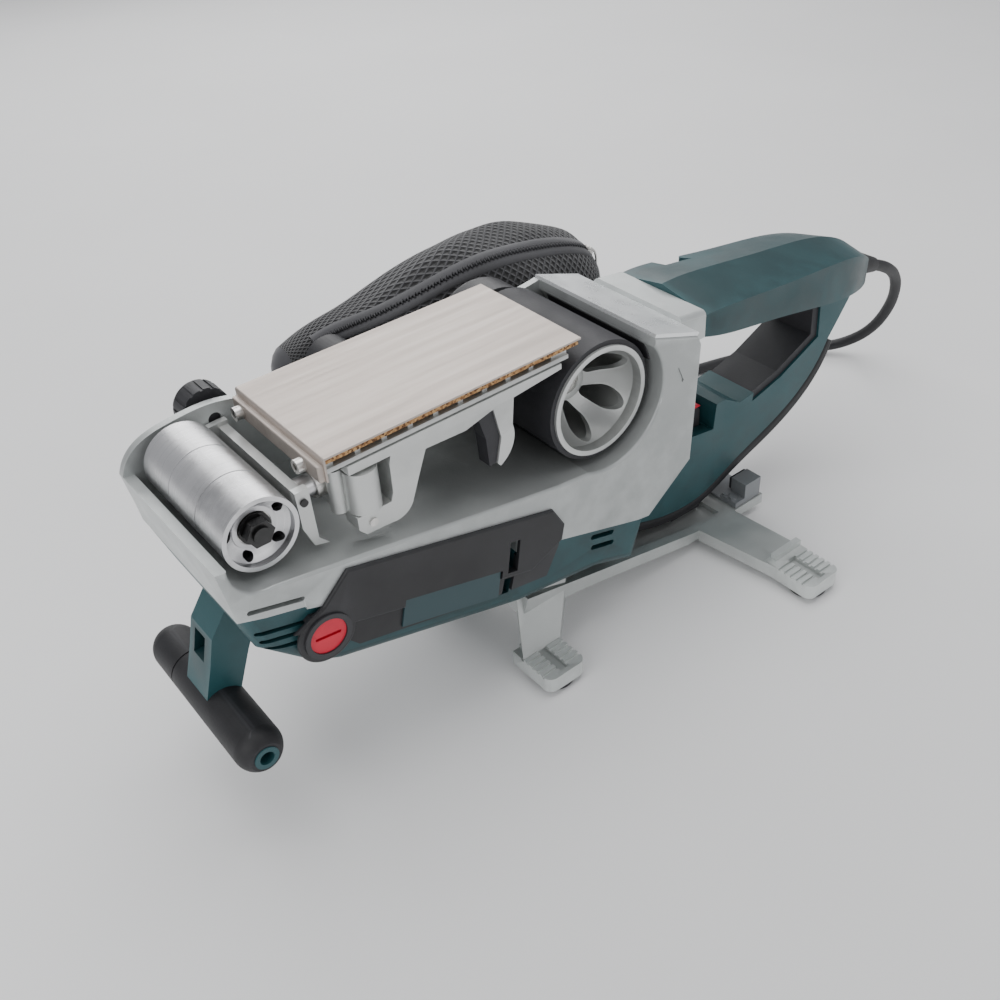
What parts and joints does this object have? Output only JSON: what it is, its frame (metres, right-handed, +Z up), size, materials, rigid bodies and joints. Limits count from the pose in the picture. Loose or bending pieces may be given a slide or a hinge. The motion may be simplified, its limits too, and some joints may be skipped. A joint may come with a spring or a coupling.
{
  "type": "belt sander on a bench stand",
  "caption": "Handheld belt sander held upside down on a four legged cast stand, with rollers, sole plate, tension lever, loop handle, front bar, dust bag and mains cord.",
  "frame": {"origin": "middle of the footprint of the machine and its stand, on the bench", "axes": "+X from the front roller to the rear handle, +Y towards the drive belt cover and dust bag, +Z up, towards the sanding face"},
  "size_m": [0.5664, 0.335, 0.19],
  "materials": {
    "frame_silver": "satin",
    "cover_bright": "satin",
    "bare_casting": "satin",
    "plate_steel": "brushed",
    "cork": "matte",
    "turned_alu": "turned",
    "steel": "satin",
    "black_steel": "satin",
    "rubber_black": "matte",
    "green_plastic": "fine texture",
    "black_plastic": "fine texture",
    "badge_plastic": "satin",
    "red_plastic": "satin",
    "carbon": "matte",
    "copper": "satin",
    "pin_brass": "satin",
    "stand_alu": "satin",
    "clamp_grey": "satin",
    "bag_mesh": "mesh",
    "zip_tape": "woven"
  },
  "bodies": {
    "machine_and_stand": {"arm_collar": "frame_silver", "badge_plates": "badge_plastic", "belt_cover": "black_plastic", "body_screws": "steel", "brush_caps": "red_plastic", "carbon_brushes": "carbon", "cord": "rubber_black", "cord_coil": "rubber_black", "cord_tie": "rubber_black", "cork_pad": "cork", "dust_bag": "bag_mesh", "dust_brush": "black_plastic", "dust_port": "black_plastic", "field_stator": "black_steel", "front_bar_grip": "rubber_black", "grip_rubbers": "rubber_black", "handle_arm": "green_plastic", "handle_neck": "green_plastic", "motor_housing": "green_plastic", "motor_insulators": "black_plastic", "plug_body": "black_plastic", "plug_pins": "pin_brass", "rear_grip": "green_plastic", "rod_spring": "steel", "roller_frame": "frame_silver", "shaft_bearings": "steel", "side_panels": "black_plastic", "sole_plate": "plate_steel", "sole_support": "bare_casting", "stand_frame": "stand_alu", "stand_rubbers": "rubber_black", "strain_relief": "rubber_black", "switch_body": "black_plastic", "toothed_belt": "rubber_black", "top_cover": "cover_bright", "trigger_spring": "steel", "zip_band": "zip_tape"},
    "armature": {"motor_shaft": "steel", "armature_core": "black_steel", "armature_copper": "copper", "cooling_fan": "black_plastic"},
    "cross_gear": {"crown_gear": "steel", "small_pulley": "black_plastic"},
    "drive_wheel": {"drive_roller": "bare_casting", "roller_lagging": "rubber_black", "drive_shaft": "steel", "large_pulley": "black_plastic"},
    "roller_slide": {"roller_yoke": "bare_casting", "front_axle": "black_steel", "tension_rod": "turned_alu"},
    "idler": {"front_roller": "turned_alu", "idler_bearings": "steel"},
    "release_lever": {"tension_lever": "bare_casting", "lever_insert": "rubber_black", "lever_pin": "steel"},
    "tracking": {"tracking_knob": "black_plastic"},
    "switch_trigger": {"trigger": "black_plastic", "trigger_edge": "red_plastic"},
    "jaw": {"clamp_jaw": "clamp_grey", "jaw_pads": "rubber_black"}
  },
  "joints": [
    {"name": "drive_wheel_spin", "type": "hinge", "parent": "machine_and_stand", "child": "drive_wheel", "pos_m": [-0.0145, -0.0135, 0.1489], "axis": [0, 1, 0], "continuous": true},
    {"name": "cross_gear_spin", "type": "hinge", "parent": "machine_and_stand", "child": "cross_gear", "pos_m": [-0.0171, 0.0165, 0.07707], "axis": [0, 1, 0], "continuous": true},
    {"name": "armature_spin", "type": "hinge", "parent": "machine_and_stand", "child": "armature", "pos_m": [-0.1861, -0.0135, 0.109], "axis": [0.9826, 0, -0.1857], "continuous": true},
    {"name": "roller_release", "type": "slide", "parent": "machine_and_stand", "child": "roller_slide", "axis": [1, 0, 0], "range_m": [0, 0.008]},
    {"name": "idler_spin", "type": "hinge", "parent": "roller_slide", "child": "idler", "pos_m": [-0.2005, -0.0135, 0.1681], "axis": [0, 1, 0], "continuous": true},
    {"name": "lever_swing", "type": "hinge", "parent": "machine_and_stand", "child": "release_lever", "pos_m": [-0.1501, -0.0465, 0.16], "axis": [0, 0, -1], "range_deg": [0, 70]},
    {"name": "tracking_turn", "type": "hinge", "parent": "machine_and_stand", "child": "tracking", "pos_m": [-0.1791, 0.0415, 0.176], "axis": [0, 1, 0], "range_deg": [-180, 180]},
    {"name": "trigger_pull", "type": "slide", "parent": "machine_and_stand", "child": "switch_trigger", "axis": [0, 0, -1], "range_m": [0, 0.004], "stiffness_N_per_m": 900, "springref_m": -0.001, "deforming": ["trigger_spring"]},
    {"name": "jaw_travel", "type": "slide", "parent": "machine_and_stand", "child": "jaw", "axis": [1, 0, 0], "range_m": [0, 0.012]}
  ],
  "couplings": [
    {"joint": "cross_gear_spin", "follows": "drive_wheel_spin", "ratio": 1.6667},
    {"joint": "armature_spin", "follows": "drive_wheel_spin", "ratio": 4.4444},
    {"joint": "roller_release", "follows": "lever_swing", "m_per_rad": 0.0065481}
  ]
}
